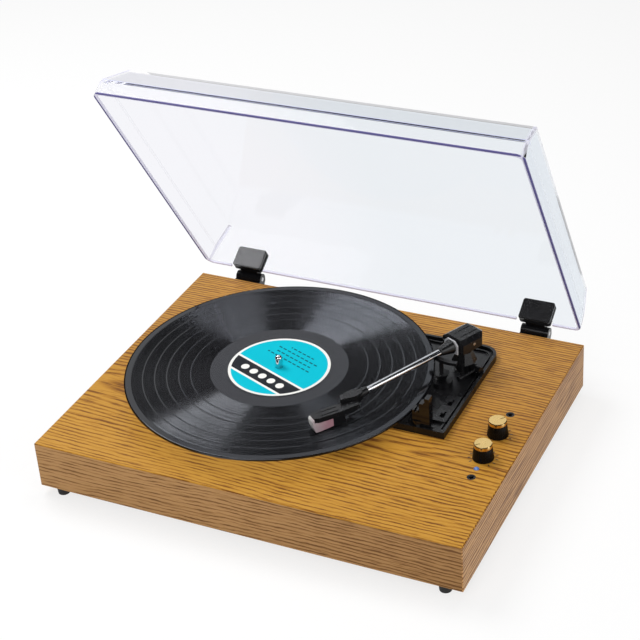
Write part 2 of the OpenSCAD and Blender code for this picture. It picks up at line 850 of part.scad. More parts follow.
module pot_shaft(y) at_control(y) translate([0, 0, pot_floor + slip])
  cylinder(h = top_z + skirt_h - 2 - pot_floor, r = pot_shaft_r);

// Fluted tapered skirt of a knob, bored for its shaft
module knob_skirt(y) at_control(y) translate([0, 0, top_z + gap]) difference() {
  cylinder(h = skirt_h, r1 = knob_r, r2 = knob_r - knob_taper);
  translate([0, 0, -past]) cylinder(h = skirt_h, r = pot_shaft_r);
  for (i = [1:knob_grooves])
    rotate(i * 360 / knob_grooves) translate([knob_r, 0, past]) rotate([0, -atan(knob_taper / skirt_h), 0])
      cylinder(h = knob_h, r = flute_r);
}

// Cap with a chamfered edge and a groove that points outwards
module knob_cap(y, pointer) at_control(y) translate([0, 0, top_z + knob_h - cap_h]) difference() {
  rotate_extrude()
    polygon([[0, 0], [cap_r, 0], [cap_r, cap_h - cap_edge], [cap_r - cap_edge, cap_h], [0, cap_h]]);
  rotate(pointer) translate([3, -pointer_w / 2, cap_h - pointer_w / 2]) cube([knob_r, pointer_w, past]);
}

module jack(y) at_control(y) difference() {
  union() {
    translate([0, 0, board_z - pot_h]) block(11, 13, pot_h);
    translate([0, 0, board_z]) cylinder(h = top_t, r = jack_r);
  }
  translate([0, 0, board_z - 4]) cylinder(h = top_t + pot_h, r = plug_r);
  translate([0, 0, top_z - 0.8]) cylinder(h = 2, r1 = plug_r, r2 = plug_r + 2);
}

module volume_pot() color(grey) pot_body(volume_y);

module source_switch() color(grey) pot_body(source_y);

module volume_shaft() color(steel) pot_shaft(volume_y);

module source_shaft() color(steel) pot_shaft(source_y);

module volume_knob() color(black) knob_skirt(volume_y);

module source_knob() color(black) knob_skirt(source_y);

module volume_cap() color(brass) knob_cap(volume_y, volume_pointer);

module source_cap() color(brass) knob_cap(source_y, source_pointer);

module line_in_jack() color(black) jack(line_in_y);

module headphone_jack() color(black) jack(headphone_y);

module power_led() color([0.75, 0.85, 1]) at_control(led_y) {
  translate([0, 0, top_z - 7]) cylinder(h = 7.2, r = led_r);
  translate([0, 0, top_z + 0.2]) intersection() {
    translate([0, 0, -1.2]) sphere(sqrt(led_r * led_r + 1.44));
    cylinder(h = led_r, r = led_r);
  }
  for (x = [-1.27, 1.27])
    translate([x, 0, board_z - pot_h]) cylinder(h = top_t + pot_h - 6, r = 0.3);
}

module control_board() color(board_green)
  translate([control_x, (line_in_y + headphone_y) / 2, board_z - pot_h - board_t])
    block(22, line_in_y - headphone_y + 20, board_t);

// Amplifier, sockets and loudspeakers

board_t = 1.6;
board_post_h = 8;
board_post_r = 4;
board_w = 90;
board_d = 46;
board_x = socket_x - 4;
board_y = inner_d / 2 - board_d / 2 - 6;

module board_places() for (x = [-1, 1], y = [-1, 1])
  translate([board_x + x * (board_w / 2 - 6), board_y + y * (board_d / 2 - 6), 0]) children();

module amplifier_board() color(board_green) translate([board_x, board_y, board_post_h]) {
  block(board_w, board_d, board_t);
  for (i = [-1:1])
    translate([i * 16 - 18, -8, 1]) cylinder(h = 12.6, r = 4);
  translate([22, -6, 1]) block(24, 10, 14);
}

module at_socket(x) translate([socket_x + x, plinth_d / 2, socket_z]) rotate([-90, 0, 0]) children();

module socket_plate() color(black) difference() {
  at_socket(0) translate([0, 0, -socket_t]) linear_extrude(socket_t)
    square([socket_w, socket_h], center = true);
  for (x = rca_x)
    at_socket(x) cylinder(h = 4 * socket_t, r = rca_neck_r + slip, center = true);
  at_socket(dc_x) cylinder(h = 4 * socket_t, r = dc_r + slip, center = true);
}

module rca_sockets() color(brass) for (x = rca_x)
  at_socket(x) difference() {
    union() {
      cylinder(h = rca_length, r = rca_r);
      translate([0, 0, -socket_t - rca_flange]) cylinder(h = socket_t + rca_flange, r = rca_neck_r);
      translate([0, 0, -socket_t - rca_flange]) cylinder(h = rca_flange, r = rca_neck_r + 1.2);
    }
    translate([0, 0, 1]) cylinder(h = rca_length, r = rca_bore_r);
  }

module dc_inlet() color(black) at_socket(dc_x) {
  difference() {
    union() {
      translate([0, 0, -socket_t - dc_depth]) cylinder(h = socket_t + dc_depth + 0.6, r = dc_r);
      translate([0, 0, -socket_t - dc_depth]) cylinder(h = dc_depth, r = dc_r + 1.5);
    }
    translate([0, 0, 1 - dc_depth]) cylinder(h = dc_depth + 2, r = dc_bore_r);
  }
  translate([0, 0, -dc_depth]) cylinder(h = dc_depth - 1, r = 1);
}

module speaker_places() for (side = [-1, 1])
  translate([side * speaker_x, speaker_y, base_t]) children();

module speaker_baskets() color(grey) speaker_places() rotate_extrude()
  polygon([[mouth_r, 0], [speaker_r, 0], [speaker_r, 2], [mouth_r + 2, 2], [magnet_r, basket_h],
    [coil_r, basket_h], [coil_r, basket_h - basket_t], [magnet_r - 0.5, basket_h - basket_t], [mouth_r, 2]]);

module speaker_cones() color(black) speaker_places() rotate_extrude()
  polygon([[0, dome_h], [dome_r, dome_h], [mouth_r - 2, basket_t], [mouth_r - gap, basket_t],
    [mouth_r - gap, basket_t + paper_t], [mouth_r - 1.8, basket_t + paper_t],
    [dome_r + gap, dome_h + paper_t], [0, dome_h + paper_t]]);

module speaker_magnets() color(steel) speaker_places()
  translate([0, 0, basket_h]) cylinder(h = speaker_h - basket_h, r = magnet_r);

// Cover with its hinges

// Leaning of a wall and its thickness measured level, for a run over a rise
function lean(run, rise) = run / rise;
function level_t(run, rise) = lid_t * sqrt(run * run + rise * rise) / rise;

// Inside face of a wall with a crease: distances in from the rim's outer edge, and heights over the rim
function inner_crease_h(crease, top) =
  (level_t(crease, crease_h) - crease - level_t(top - crease, lid_h - crease_h)
    + lean(top - crease, lid_h - crease_h) * crease_h)
  / (lean(top - crease, lid_h - crease_h) - lean(crease, crease_h));
function inner_crease(crease, top) =
  level_t(crease, crease_h) + lean(crease, crease_h) * inner_crease_h(crease, top);
function inner_top(crease, top) =
  top + level_t(top - crease, lid_h - crease_h) - lean(top - crease, lid_h - crease_h) * lid_t;

// Closed cover as a solid: side section, front section and plan, each from points [in from the rim, height]
module cover_form(front, side, back, height, corner, drop)
  translate([0, 0, lid_rim_z]) intersection() {
  translate([-lid_w / 2, 0, 0]) rotate([90, 0, 90]) linear_extrude(lid_w)
    polygon([[lid_front + front[0], -drop], [lid_front + front[0], 0], [lid_front + front[1][0], front[1][1]],
      [lid_front + front[2], height], [lid_back - back, height], [lid_back - back, -drop]]);
  translate([0, lid_back, 0]) rotate([90, 0, 0]) linear_extrude(lid_d)
    polygon([[side[0] - lid_w / 2, -drop], [lid_w / 2 - side[0], -drop], [lid_w / 2 - side[0], 0],
      [lid_w / 2 - side[1][0], side[1][1]], [lid_w / 2 - side[2], height], [side[2] - lid_w / 2, height],
      [side[1][0] - lid_w / 2, side[1][1]], [side[0] - lid_w / 2, 0]]);
  translate([0, (lid_front + lid_back + front[0] - back) / 2, -drop]) linear_extrude(height + drop)
    round_rect(lid_w - 2 * side[0], lid_d - front[0] - back, corner);
}

module cover_outside() cover_form(
  [0, [front_crease, crease_h], front_top],
  [0, [side_crease, crease_h], side_top],
  0, lid_h, lid_corner, 0);

module cover_inside() cover_form(
  [level_t(front_crease, crease_h),
    [inner_crease(front_crease, front_top), inner_crease_h(front_crease, front_top)],
    inner_top(front_crease, front_top)],
  [level_t(side_crease, crease_h),
    [inner_crease(side_crease, side_top), inner_crease_h(side_crease, side_top)],
    inner_top(side_crease, side_top)],
  lid_t, lid_h - lid_t, lid_corner - lid_t, past);

module lid() color([0.85, 0.86, 0.92, 0.35]) opened() difference() {
  cover_outside();
  cover_inside();
  both_sides() translate([0, lid_back + past, lid_rim_z]) rotate([90, 0, 0])
    linear_extrude(lid_t + 2 * past) round_rect(notch_w, 2 * notch_h, 4);
}

// Moving half of a hinge: knuckle, arm through the notch and a clip over the rear wall
module hinge_leaves() color(black) opened() both_sides() difference() {
  union() {
    translate([0, hinge_y, hinge_z]) cross_rod(knuckle_r, leaf_w);
    translate([-leaf_w / 2, 0, 0]) rotate([90, 0, 90]) linear_extrude(leaf_w)
      polygon([[hinge_y - 5, hinge_z + 2.6], [hinge_y + 4, hinge_z + 4],
        [lid_back + clip_t, lid_rim_z + leaf_h], [lid_back + slip, lid_rim_z + leaf_h],
        [lid_back + slip, lid_rim_z]]);
    translate([0, lid_back + slip + clip_t, lid_rim_z]) mirror([0, 1, 0]) flap();
    translate([0, lid_back - lid_t - slip - clip_t, lid_rim_z]) flap();
    translate([-hinge_w / 2, lid_back - lid_t - slip - past, lid_rim_z + past])
      cube([hinge_w, lid_t + 2 * slip + 2 * past, notch_h - slip - past]);
  }
  translate([0, hinge_y, hinge_z]) cross_rod(hinge_pin_r + running, hinge_w);
}

// Flap plate of the clip: round corners and a face raised from its border
module flap() translate([0, clip_t, clip_h / 2]) rotate([90, 0, 0]) {
  linear_extrude(clip_t - flap_border) round_rect(flap_w, clip_h, flap_corner);
  linear_extrude(clip_t)
    round_rect(flap_w - 2 * flap_border, clip_h - 2 * flap_border, flap_corner - flap_border);
}

module hinge_brackets() color(black) both_sides() difference() {
  union() {
    translate([-hinge_w / 2, plinth_d / 2, hinge_z - bracket_drop])
      cube([hinge_w, bracket_t, bracket_drop - 2 * ear_t]);
    for (side = [-1, 1])
      translate([side * (hinge_w - ear_t) / 2, 0, 0]) hinge_ear();
  }
  translate([0, hinge_y, hinge_z]) cross_rod(hinge_pin_r, hinge_w + past);
  for (z = hinge_screw_heights)
    translate([0, plinth_d / 2, z]) rotate([90, 0, 0])
      cylinder(h = 4 * bracket_t, r = screw_r + running, center = true);
}

// Ear of a bracket: a knuckle on a web that runs down to the plate
module hinge_ear() {
  reach = hinge_y - plinth_d / 2 + knuckle_r;
  translate([0, hinge_y, hinge_z]) cross_rod(knuckle_r, ear_t);
  translate([-ear_t / 2, plinth_d / 2, hinge_z]) rotate([90, 0, 90]) linear_extrude(ear_t)
    polygon([[0, -web_h], [bracket_t, -web_h], [reach, -web_lip], [reach, 0], [0, 0]]);
}

module hinge_screw_places() both_sides() for (z = hinge_screw_heights)
  translate([0, plinth_d / 2 + past, z]) rotate([90, 0, 0]) children();

module hinge_screws() color(steel) hinge_screw_places() translate([0, 0, past - bracket_t]) {
  translate([0, 0, -screw_head_h]) cylinder(h = screw_head_h, r = screw_head_r);
  translate([0, 0, -past]) cylinder(h = screw_length, r = screw_r);
}

module hinge_pins() color(steel) both_sides()
  translate([0, hinge_y, hinge_z]) cross_rod(hinge_pin_r, hinge_w);

plinth_case();
base_panel();
feet();
base_screws();
deck_plate();
arm_rest();
arm_column();
lift_sleeve();
bearing_bush();
motor_can();
drive_belt();
speed_switch();
stop_switch();
amplifier_board();
control_board();
volume_pot();
source_switch();
line_in_jack();
headphone_jack();
power_led();
socket_plate();
rca_sockets();
dc_inlet();
speaker_baskets();
speaker_cones();
speaker_magnets();
hinge_brackets();
hinge_screws();
hinge_pins();
platter();
spindle();
slip_mat();
record();
record_labels();
motor_shaft();
motor_pulley();
arm_housing();
swing_shaft();
tilt_pins();
arm_socket();
arm_face_plate();
arm_tube();
counterweight();
headshell();
cartridge();
stylus_holder();
stylus();
contact_clip();
lift_platform();
cue_lever();
speed_slider();
stop_slider();
volume_shaft();
volume_knob();
volume_cap();
source_shaft();
source_knob();
source_cap();
lid();
hinge_leaves();
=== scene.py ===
"""Portable record player: materials, small details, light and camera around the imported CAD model."""
import json
import math

import bmesh
import bpy
from mathutils import Matrix, Vector


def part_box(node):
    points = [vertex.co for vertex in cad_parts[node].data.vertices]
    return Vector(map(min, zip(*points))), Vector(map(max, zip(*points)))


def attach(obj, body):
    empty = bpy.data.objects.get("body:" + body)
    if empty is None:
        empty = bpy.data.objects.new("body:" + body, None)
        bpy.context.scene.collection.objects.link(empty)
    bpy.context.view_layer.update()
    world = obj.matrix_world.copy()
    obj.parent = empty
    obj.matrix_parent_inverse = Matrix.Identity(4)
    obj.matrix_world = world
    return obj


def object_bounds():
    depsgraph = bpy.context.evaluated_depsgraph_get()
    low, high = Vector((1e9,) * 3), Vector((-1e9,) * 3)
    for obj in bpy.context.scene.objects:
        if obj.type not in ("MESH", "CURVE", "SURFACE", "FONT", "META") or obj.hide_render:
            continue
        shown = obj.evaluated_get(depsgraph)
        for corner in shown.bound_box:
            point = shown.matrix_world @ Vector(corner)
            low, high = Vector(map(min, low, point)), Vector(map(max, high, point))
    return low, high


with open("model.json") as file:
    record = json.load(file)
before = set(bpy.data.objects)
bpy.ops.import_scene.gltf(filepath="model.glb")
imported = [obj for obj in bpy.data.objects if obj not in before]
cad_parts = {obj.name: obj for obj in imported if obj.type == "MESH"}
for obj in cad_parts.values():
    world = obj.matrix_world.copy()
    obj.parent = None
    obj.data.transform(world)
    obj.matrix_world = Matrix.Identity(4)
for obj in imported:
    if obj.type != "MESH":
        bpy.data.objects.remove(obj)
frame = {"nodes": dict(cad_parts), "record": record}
cad_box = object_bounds()
joints = {joint["name"]: joint for joint in frame["record"]["behaviour"]["joints"]}

# Record, in metres: centre and radii from the frame, then its rim, grooves and colours
PLATTER = joints["platter_spin"]["pos_m"][:2]
RECORD_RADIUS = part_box("record")[1].x - PLATTER[0]
LABEL_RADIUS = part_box("record_labels")[1].x - PLATTER[0]
ROUNDED_EDGE = 0.0018
EDGE_SLOPE = 1.3
GROOVE_START = 0.0674
GROOVE_END = 0.1445
GROOVE_PITCH = 0.00031
GROOVE_SLOPES = (0.30, 0.70)
LOUDNESS_CHANGES = 700.0
VINYL = ((0.002, 0.002, 0.0024, 1), (0.006, 0.006, 0.0072, 1))

# Bands of grooves: number, extra share of the innermost one, share of a band on each side of its smooth gap
BANDS = 6
INNER_BAND_EXTRA = 0.6
BAND_WIDTH = (GROOVE_END - GROOVE_START) / (BANDS + INNER_BAND_EXTRA)
BAND_GAP = 0.05

# Print on the label, in metres: white rim, dark stripe with a row of dots, rows of broken bars
LABEL_TURN = math.radians(-22.0)
LABEL_RIM = 0.0028
STRIPE = (-0.031, -0.013)
STRIPE_BORDER = 0.0026
DOTS = 5
DOT_SPACING = 0.0125
DOT_RADIUS = 0.0042
BAR_REACHES = (0.016, 0.027, 0.024, 0.030)
FIRST_BAR = 0.030
BAR_SPACING = 0.0062
BAR_HEIGHT = 0.0016
DASHES_PER_METRE = 160.0
DASH_SHIFT = 0.37
DASH_SHARE = 0.72
TURQUOISE = ((0.001, 0.46, 0.58, 1), (0.002, 0.55, 0.69, 1))
LABEL_WHITE = (0.86, 0.85, 0.82, 1)
STRIPE_INK = (0.018, 0.020, 0.024, 1)
BAR_INK = (0.004, 0.10, 0.13, 1)

# Clear cover when shut, in metres and degrees: the same sizes as in the part's source
COVER_HINGE = joints["cover_hinge"]["pos_m"]
COVER_ANGLE = joints["cover_hinge"]["range_deg"][1]
COVER_HALF_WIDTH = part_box("lid")[1].x
COVER_FRONT = -0.161
COVER_BACK = 0.164
COVER_RIM = 0.0505
COVER_HEIGHT = 0.0475
COVER_CREASE = 0.0185
COVER_FRONT_LEAN = (0.0045, 0.0295)
COVER_SIDE_LEAN = (0.0020, 0.0080)

# Depths of the tinted edges of the cover, in metres, and tints of its sheet
OUTER_SKIN = 0.0008
ROOF_EDGE = 0.0060
CREASE_LINE = 0.0007
CREASE_IN_SIDE = 0.006
CREASE_IN_FRONT = 0.009
CORNER_EDGE = 0.0040
LOWER_EDGE = 0.0024
RIM_HEIGHT = 0.0018
RIM_DEPTH = 0.0024
RIM_START = (0.004, 0.008)
FRONT_WALL = 0.004
LILAC = (0.935, 0.928, 0.965, 1)
BLUISH = (0.855, 0.885, 0.918, 1)
WHITE = (1.0, 1.0, 1.0, 1.0)

# Share of a normal along an axis from which a face looks that way, and from which it is level
FACING = 0.5
LEVEL = 0.9

# Year rings of the wood, in metres: heart of the arches on the top, their slant, growth and spacing
HEART = (0.232, -0.056)
RING_SLANT = 0.075
RING_CROWDING = 1.2
RING_SPACING = 0.0044
RING_SPACING_TOP = 0.0052

# Layer of the noise that each kind of face is cut from, the front being 0
SIDE_LAYER = 3.0
TOP_LAYER = 7.0

# Waves in the year rings: turns per metre along and across the grain, height in metres
RING_WAVES = ((7.0, 10.0, 0.012), (22.0, 45.0, 0.003), (90.0, 110.0, 0.0016), (260.0, 330.0, 0.0008))

# Colours of the wood from its palest part to its darkest line, on the top, the front and the sides
GOLDEN = ((0.0, (0.55, 0.275, 0.037)), (0.35, (0.44, 0.200, 0.023)), (1.0, (0.17, 0.058, 0.008)))
TAN = ((0.0, (0.47, 0.258, 0.100)), (0.35, (0.375, 0.195, 0.068)), (1.0, (0.155, 0.066, 0.019)))
PALE = ((0.0, (0.57, 0.318, 0.130)), (0.35, (0.48, 0.257, 0.098)), (1.0, (0.22, 0.097, 0.030)))
# Greyer colour that the top of the wood is mixed towards at its back
BACK_GREY = (0.42, 0.26, 0.17, 1)

# Pointer groove in the knobs' caps, in metres, and its ink
POINTER_DEPTH = 0.0004
POINTER_TOLERANCE = 0.00015
POINTER_INK = (0.03, 0.02, 0.01, 1)

# Dials: turning joint, knob, pointer's angle at rest in degrees, number of marks
DIALS = (("volume_turn", "volume_knob", 223.0, 11), ("source_turn", "source_knob", 51.0, 3))

# Marks printed round the knobs, in metres
MARK_CLEARANCE = 0.0014
MARK_LENGTH = 0.0026
MARK_WIDTH = 0.0011
INK_THICKNESS = 0.00005

# Tint of the stylus holder from its front end to its back end, with a painted highlight that makes the front
# end whitish
STYLUS_TINT_AND_HIGHLIGHT = ((0.05, (0.72, 0.72, 0.70)), (0.40, (0.46, 0.38, 0.40)), (0.85, (0.42, 0.22, 0.26)))

# Moulded pieces by material slot: grain is in bumps per metre, depth in metres
PLASTICS = {
    "black_plastic": dict(colour=(0.0035, 0.0035, 0.0042), roughness=0.27, specular=0.4),
    "gloss_black": dict(colour=(0.003, 0.003, 0.0035), roughness=0.10, grain=200.0, depth=0.000005),
    "hinge_plastic": dict(colour=(0.0045, 0.0045, 0.0055), roughness=0.20, specular=0.34),
    "knob_plastic": dict(colour=(0.0012, 0.0012, 0.0014), roughness=0.26, specular=0.22),
    "base_board": dict(colour=(0.020, 0.019, 0.018), roughness=0.75, grain=350.0, depth=0.0001),
    "grey_plastic": dict(colour=(0.36, 0.36, 0.38), roughness=0.42),
    "rubber_black": dict(colour=(0.014, 0.014, 0.014), roughness=0.8, grain=600.0, depth=0.0001),
    "felt": dict(colour=(0.02, 0.02, 0.022), roughness=0.95, grain=2500.0, depth=0.0004),
    "circuit_board": dict(colour=(0.02, 0.14, 0.06), roughness=0.45),
    "cone_paper": dict(colour=(0.02, 0.02, 0.02), roughness=0.9, grain=700.0, depth=0.0002),
    "led": dict(colour=(0.09, 0.18, 0.46), roughness=0.12),
}
DIAL_INK = dict(colour=(0.012, 0.009, 0.007), roughness=0.5, grain=2000.0, depth=0.00001)

# Metals by material slot: streaks per metre along each axis
METALS = {
    "chrome": dict(colour=(0.86, 0.86, 0.88), roughness=0.05, depth=0.000005),
    "steel": dict(colour=(0.56, 0.56, 0.58), roughness=0.28),
    "brass": dict(colour=(0.72, 0.52, 0.22), roughness=0.25),
    "gold_cap": dict(colour=(0.95, 0.66, 0.26), roughness=0.14, streaks=(90.0, 40.0, 40.0), depth=0.000002,
                     ink_floor=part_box("volume_cap")[1].z - POINTER_DEPTH),
    "diamond": dict(colour=(0.7, 0.7, 0.72), roughness=0.1),
}

# Camera solved from the photo: place, aim in degrees and lens for its sensor in millimetres
CAMERA_PLACE = (0.633148, -1.209101, 0.979962)
CAMERA_YAW = 27.266
CAMERA_PITCH = 31.877
CAMERA_ROLL = -4.122
CAMERA_LENS = 96.30
CAMERA_SENSOR = 36.0

# Lamps: name, place, width and height, power; all aim at one point
LAMPS = (
    ("key", (-0.95, 0.30, 1.45), (0.86, 0.86), 18.0),
    ("overhead", (0.14, 0.56, 1.65), (0.62, 0.62), 4.4),
    ("front_fill", (0.10, -1.35, 1.00), (0.9, 0.7), 7.0),
    ("side_fill", (1.6, -0.3, 0.7), (1.2, 1.0), 9.0),
)
LAMP_TARGET = (0.0, 0.0, 0.05)

# World: level on what it lights, then direction, reach and levels of the bright part that gloss mirrors
WORLD_LEVEL = 0.28
MIRRORED_DIRECTION = (-0.38, 0.72, 0.58)
MIRRORED_REACH = (0.86, 0.99)
MIRRORED_LEVELS = (0.02, 0.92)

# Floor: half its width in metres, and its share of plain white to the camera
FLOOR_SIZE = 6.0
FLOOR_GLOW = 0.75


class Nodes:
    """A node tree, with short names for the nodes that are made in it."""

    def __init__(self, tree):
        self.tree = tree

    def put(self, socket, value):
        """Links a node's output to the socket, or sets the socket to a plain value."""
        if isinstance(value, bpy.types.NodeSocket):
            self.tree.links.new(value, socket)
        else:
            socket.default_value = value

    def node(self, kind, inputs=None, **settings):
        node = self.tree.nodes.new("ShaderNode" + kind)
        for key, value in settings.items():
            setattr(node, key, value)
        for key, value in (inputs or {}).items():
            self.put(node.inputs[key], value)
        return node

    def math(self, operation, *values):
        return self.node("Math", dict(enumerate(values)), operation=operation).outputs[0]

    def plus(self, a, b):
        return self.math("ADD", a, b)

    def minus(self, a, b):
        return self.math("SUBTRACT", a, b)

    def times(self, a, b):
        return self.math("MULTIPLY", a, b)

    def divided(self, a, b):
        return self.math("DIVIDE", a, b)

    def least(self, a, b):
        return self.math("MINIMUM", a, b)

    def most(self, a, b):
        return self.math("MAXIMUM", a, b)

    def size(self, value):
        return self.math("ABSOLUTE", value)

    def scaled(self, value, factor, shift):
        """The value times a factor, plus a shift."""
        return self.math("MULTIPLY_ADD", value, factor, shift)

    def length(self, x, y):
        return self.math("SQRT", self.plus(self.times(x, x), self.times(y, y)))

    def above(self, value, limit):
        return self.math("GREATER_THAN", value, limit)

    def below(self, value, limit):
        return self.math("LESS_THAN", value, limit)

    def inside(self, value, low, high):
        return self.times(self.above(value, low), self.below(value, high))

    def between(self, factor, low, high):
        """Runs from low to high as the factor runs from 0 to 1."""
        return self.scaled(factor, self.minus(high, low), low)

    def step(self, value, low, high):
        """Smooth rise from 0 at low to 1 at high."""
        node = self.node("MapRange", {0: value, 1: low, 2: high}, interpolation_type="SMOOTHSTEP")
        return node.outputs[0]

    def rise(self, value, low, high, end):
        """Straight rise from 0 at low to end at high."""
        return self.node("MapRange", {0: value, 1: low, 2: high, 4: end}).outputs[0]

    def vector(self, x, y, z=0.0):
        return self.node("CombineXYZ", {0: x, 1: y, 2: z}).outputs[0]

    def split(self, vector):
        """The three numbers of a vector."""
        return self.node("SeparateXYZ", {0: vector}).outputs[:3]

    def noise(self, vector, scale, detail=2.0):
        return self.node("TexNoise", {"Vector": vector, "Scale": scale, "Detail": detail}).outputs[0]

    def mix(self, factor, a, b):
        """Colour a where the factor is 0, colour b where it is 1."""
        return self.node("Mix", {0: factor, 6: a, 7: b}, data_type="RGBA").outputs[2]

    def ramp(self, factor, stops):
        """Colour along a row of stops, each a place and a colour."""
        node = self.node("ValToRGB", {0: factor})
        elements = node.color_ramp.elements
        while len(elements) < len(stops):
            elements.new(0.5)
        for element, (place, colour) in zip(elements, stops):
            element.position = place
            element.color = (*colour, 1.0)
        return node.outputs[0]


class Shader(Nodes):
    """One material: a Principled shader and the nodes that feed it."""

    def __init__(self, name, **sockets):
        self.material = bpy.data.materials.new(name)
        self.material.use_nodes = True
        super().__init__(self.material.node_tree)
        self.surface = self.tree.nodes["Principled BSDF"]
        for socket, value in sockets.items():
            self.put(self.surface.inputs[socket.replace("_", " ")], value)

    def coordinates(self):
        return self.node("TexCoord").outputs["Object"]

    def place(self):
        """Place on the piece as three numbers."""
        return self.split(self.coordinates())

    def normal(self):
        return self.node("NewGeometry").outputs["Normal"]

    def from_spindle(self):
        """Offset from the spindle's axis and the distance to it."""
        x, y, _ = self.place()
        x = self.minus(x, PLATTER[0])
        y = self.minus(y, PLATTER[1])
        return x, y, self.length(x, y)

    def level_face(self, height, tolerance):
        """1 on faces that look up at this height, 0 elsewhere."""
        near = self.below(self.size(self.minus(self.place()[2], height)), tolerance)
        return self.times(near, self.above(self.split(self.normal())[2], LEVEL))

    def colour(self, value):
        self.put(self.surface.inputs["Base Color"], value)

    def roughness(self, value):
        self.put(self.surface.inputs["Roughness"], value)

    def bump(self, height, strength, distance):
        node = self.node("Bump", {"Height": height, "Strength": strength, "Distance": distance})
        self.put(self.surface.inputs["Normal"], node.outputs[0])


def moulded_plastic(name, colour, roughness, grain=900.0, depth=0.00004, specular=0.5):
    """Moulded plastic: fine grain, slight unevenness of gloss and tone."""
    shader = Shader(name, Specular_IOR_Level=specular)
    spot = shader.coordinates()
    patches = shader.noise(spot, scale=45.0, detail=3.0)
    lighter = tuple(1.5 * channel + 0.002 for channel in colour)
    shader.colour(shader.mix(patches, (*colour, 1), (*lighter, 1)))
    shader.roughness(shader.between(patches, low=roughness - 0.06, high=roughness + 0.08))
    shader.bump(shader.noise(spot, grain), strength=0.25, distance=depth)
    return shader.material


def metal(name, colour, roughness, streaks=(60.0, 60.0, 1200.0), depth=0.00003, ink_floor=None):
    """Metal with fine drawn streaks, and ink on the floor of a groove if its height is given."""
    shader = Shader(name, Metallic=1.0)
    stretched = [shader.times(axis, count) for axis, count in zip(shader.place(), streaks)]
    drawn = shader.noise(shader.vector(*stretched), scale=1.0, detail=3.0)
    duller = tuple(0.86 * channel for channel in colour)
    tone = shader.mix(drawn, (*duller, 1), (*colour, 1))
    if ink_floor is not None:
        tone = shader.mix(shader.level_face(ink_floor, POINTER_TOLERANCE), tone, POINTER_INK)
    shader.colour(tone)
    shader.roughness(shader.between(drawn, low=0.7 * roughness, high=1.3 * roughness))
    shader.bump(drawn, strength=0.08, distance=depth)
    return shader.material


class Laminate(Shader):
    """Wood-look sheet whose grain runs along every face of the plinth."""

    def __init__(self, name, **sockets):
        super().__init__(name, **sockets)
        self.x, self.y, z = self.place()
        sideways, _, upwards = self.split(self.normal())
        self.flatness = self.size(upwards)
        self.side = self.above(self.size(sideways), FACING)
        self.top = self.above(self.flatness, FACING)
        self.along = self.between(self.side, self.x, self.y)
        self.across = self.between(self.top, z, self.y)
        self.layer = self.scaled(self.side, SIDE_LAYER, self.times(self.top, TOP_LAYER))
        self.rear = self.step(self.y, low=-0.02, high=0.14)

    def grain(self, along, across, detail=2.0):
        """Noise around zero, with its own scale along and across the grain."""
        stretched = self.vector(self.times(self.along, along), self.times(self.across, across), self.layer)
        return self.minus(self.noise(stretched, scale=1.0, detail=detail), 0.5)

    def rings(self):
        """Lines of the year rings, arched round the heart near the knobs on the top."""
        rise = self.times(self.minus(self.along, HEART[0]), RING_SLANT)
        away = self.minus(self.across, HEART[1])
        for along, across, height in RING_WAVES:
            away = self.scaled(self.grain(along, across), height, away)
        reach = self.length(rise, away)
        crowded = self.scaled(self.times(reach, reach), RING_CROWDING, reach)
        ring = self.divided(crowded, self.between(self.top, RING_SPACING, RING_SPACING_TOP))
        uneven = self.noise(self.vector(self.times(ring, 0.45), self.layer), scale=1.0, detail=1.0)
        phase = self.math("FRACT", self.scaled(uneven, 1.1, ring))
        return self.most(self.step(phase, low=0.58, high=0.94), self.step(phase, low=0.26, high=0.0))

    def pores(self):
        """Fine short streaks, longer and coarser on the sides."""
        along = self.between(self.side, 42.0, 13.0)
        across = self.between(self.side, 760.0, 430.0)
        streaks = self.step(self.grain(along, across), low=0.02, high=0.16)
        return self.times(streaks, self.between(self.side, 0.38, 0.50))

    def painted_shade(self):
        """Painted shade, a slow change over each face: the top is lightest at its front, the front face at
        its left.
        """
        top = self.scaled(self.step(self.y, low=-0.17, high=0.06), factor=0.32, shift=-0.10)
        top = self.scaled(self.rear, factor=-0.22, shift=top)
        front = self.scaled(self.x, factor=1.3, shift=0.02)
        return self.between(self.top, self.between(self.side, front, 0.16), top)

    def tone(self, line):
        """Darkness of the wood from 0, its palest part, to 1, its darkest line."""
        whole = self.step(self.grain(along=30.0, across=420.0), low=-0.10, high=0.07)
        strength = self.plus(self.scaled(whole, factor=0.55, shift=0.32), self.grain(16.0, 60.0, detail=3.0))
        tone = self.scaled(line, strength, self.pores())
        contrast = self.between(self.side, self.between(self.rear, 1.1, 1.75), 1.9)
        tone = self.times(tone, contrast)
        tone = self.scaled(self.grain(along=4.0, across=12.0), factor=0.35, shift=tone)
        bevel = self.times(self.top, self.below(self.flatness, LEVEL))
        tone = self.scaled(bevel, factor=0.30, shift=tone)
        # Adds painted shade: the top darker towards its back, the front face darker towards its right
        return self.plus(tone, self.painted_shade())


def wood_laminate():
    """Oak-look laminate: golden on the top and greyer towards its back, tan on the front, paler on the sides,
    with painted shade on the top and front.
    """
    wood = Laminate("wood_laminate", Specular_IOR_Level=0.15)
    line = wood.rings()
    tone = wood.tone(line)
    # Mixes the top towards a greyer colour at its back
    greyer_back = wood.times(wood.step(wood.y, low=-0.06, high=0.12), 0.16)
    golden = wood.mix(greyer_back, wood.ramp(tone, GOLDEN), BACK_GREY)
    walls = wood.mix(wood.side, wood.ramp(tone, TAN), wood.ramp(tone, PALE))
    wood.colour(wood.mix(wood.top, walls, golden))
    wood.roughness(wood.between(line, low=0.40, high=0.52))
    wood.bump(wood.times(tone, -1.0), strength=0.15, distance=0.0002)
    return wood.material


